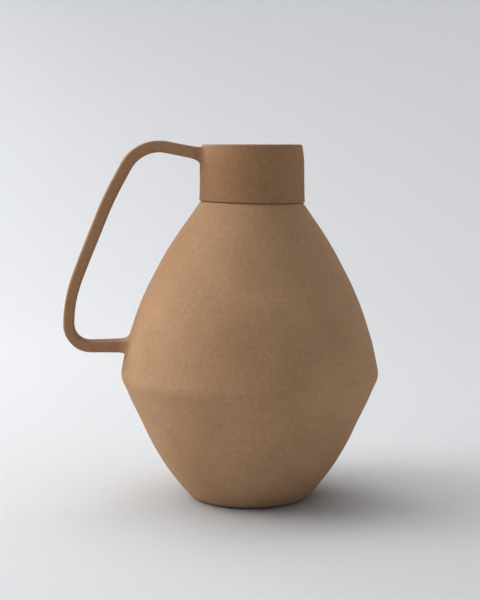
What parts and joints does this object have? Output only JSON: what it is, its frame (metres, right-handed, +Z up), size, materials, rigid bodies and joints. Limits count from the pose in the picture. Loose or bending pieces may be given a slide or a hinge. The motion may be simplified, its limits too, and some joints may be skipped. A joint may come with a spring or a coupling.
{
  "type": "ceramic pitcher",
  "caption": "Double-cone stoneware pitcher with a flat foot, a ridged belly, a straight collar above a groove and a tall angular strap handle.",
  "frame": {"origin": "centre of the foot, on the surface that the pitcher stands on", "axes": "+Z up along the vessel's axis; the handle lies in the XZ plane on the -X side"},
  "size_m": [0.2407, 0.1976, 0.2713],
  "materials": {
    "clay": "unglazed sandy stoneware, matt",
    "slip": "fired joining slip, matt",
    "glaze": "clear gloss glaze over clay"
  },
  "bodies": {
    "root": {"lower_bowl": "clay", "ridge_slip_seam": "slip", "upper_wall": "clay", "neck_slip_seam": "slip", "neck_collar": "clay", "handle": "clay", "handle_upper_joint": "slip", "handle_lower_joint": "slip", "glaze_lining": "glaze"}
  },
  "joints": []
}
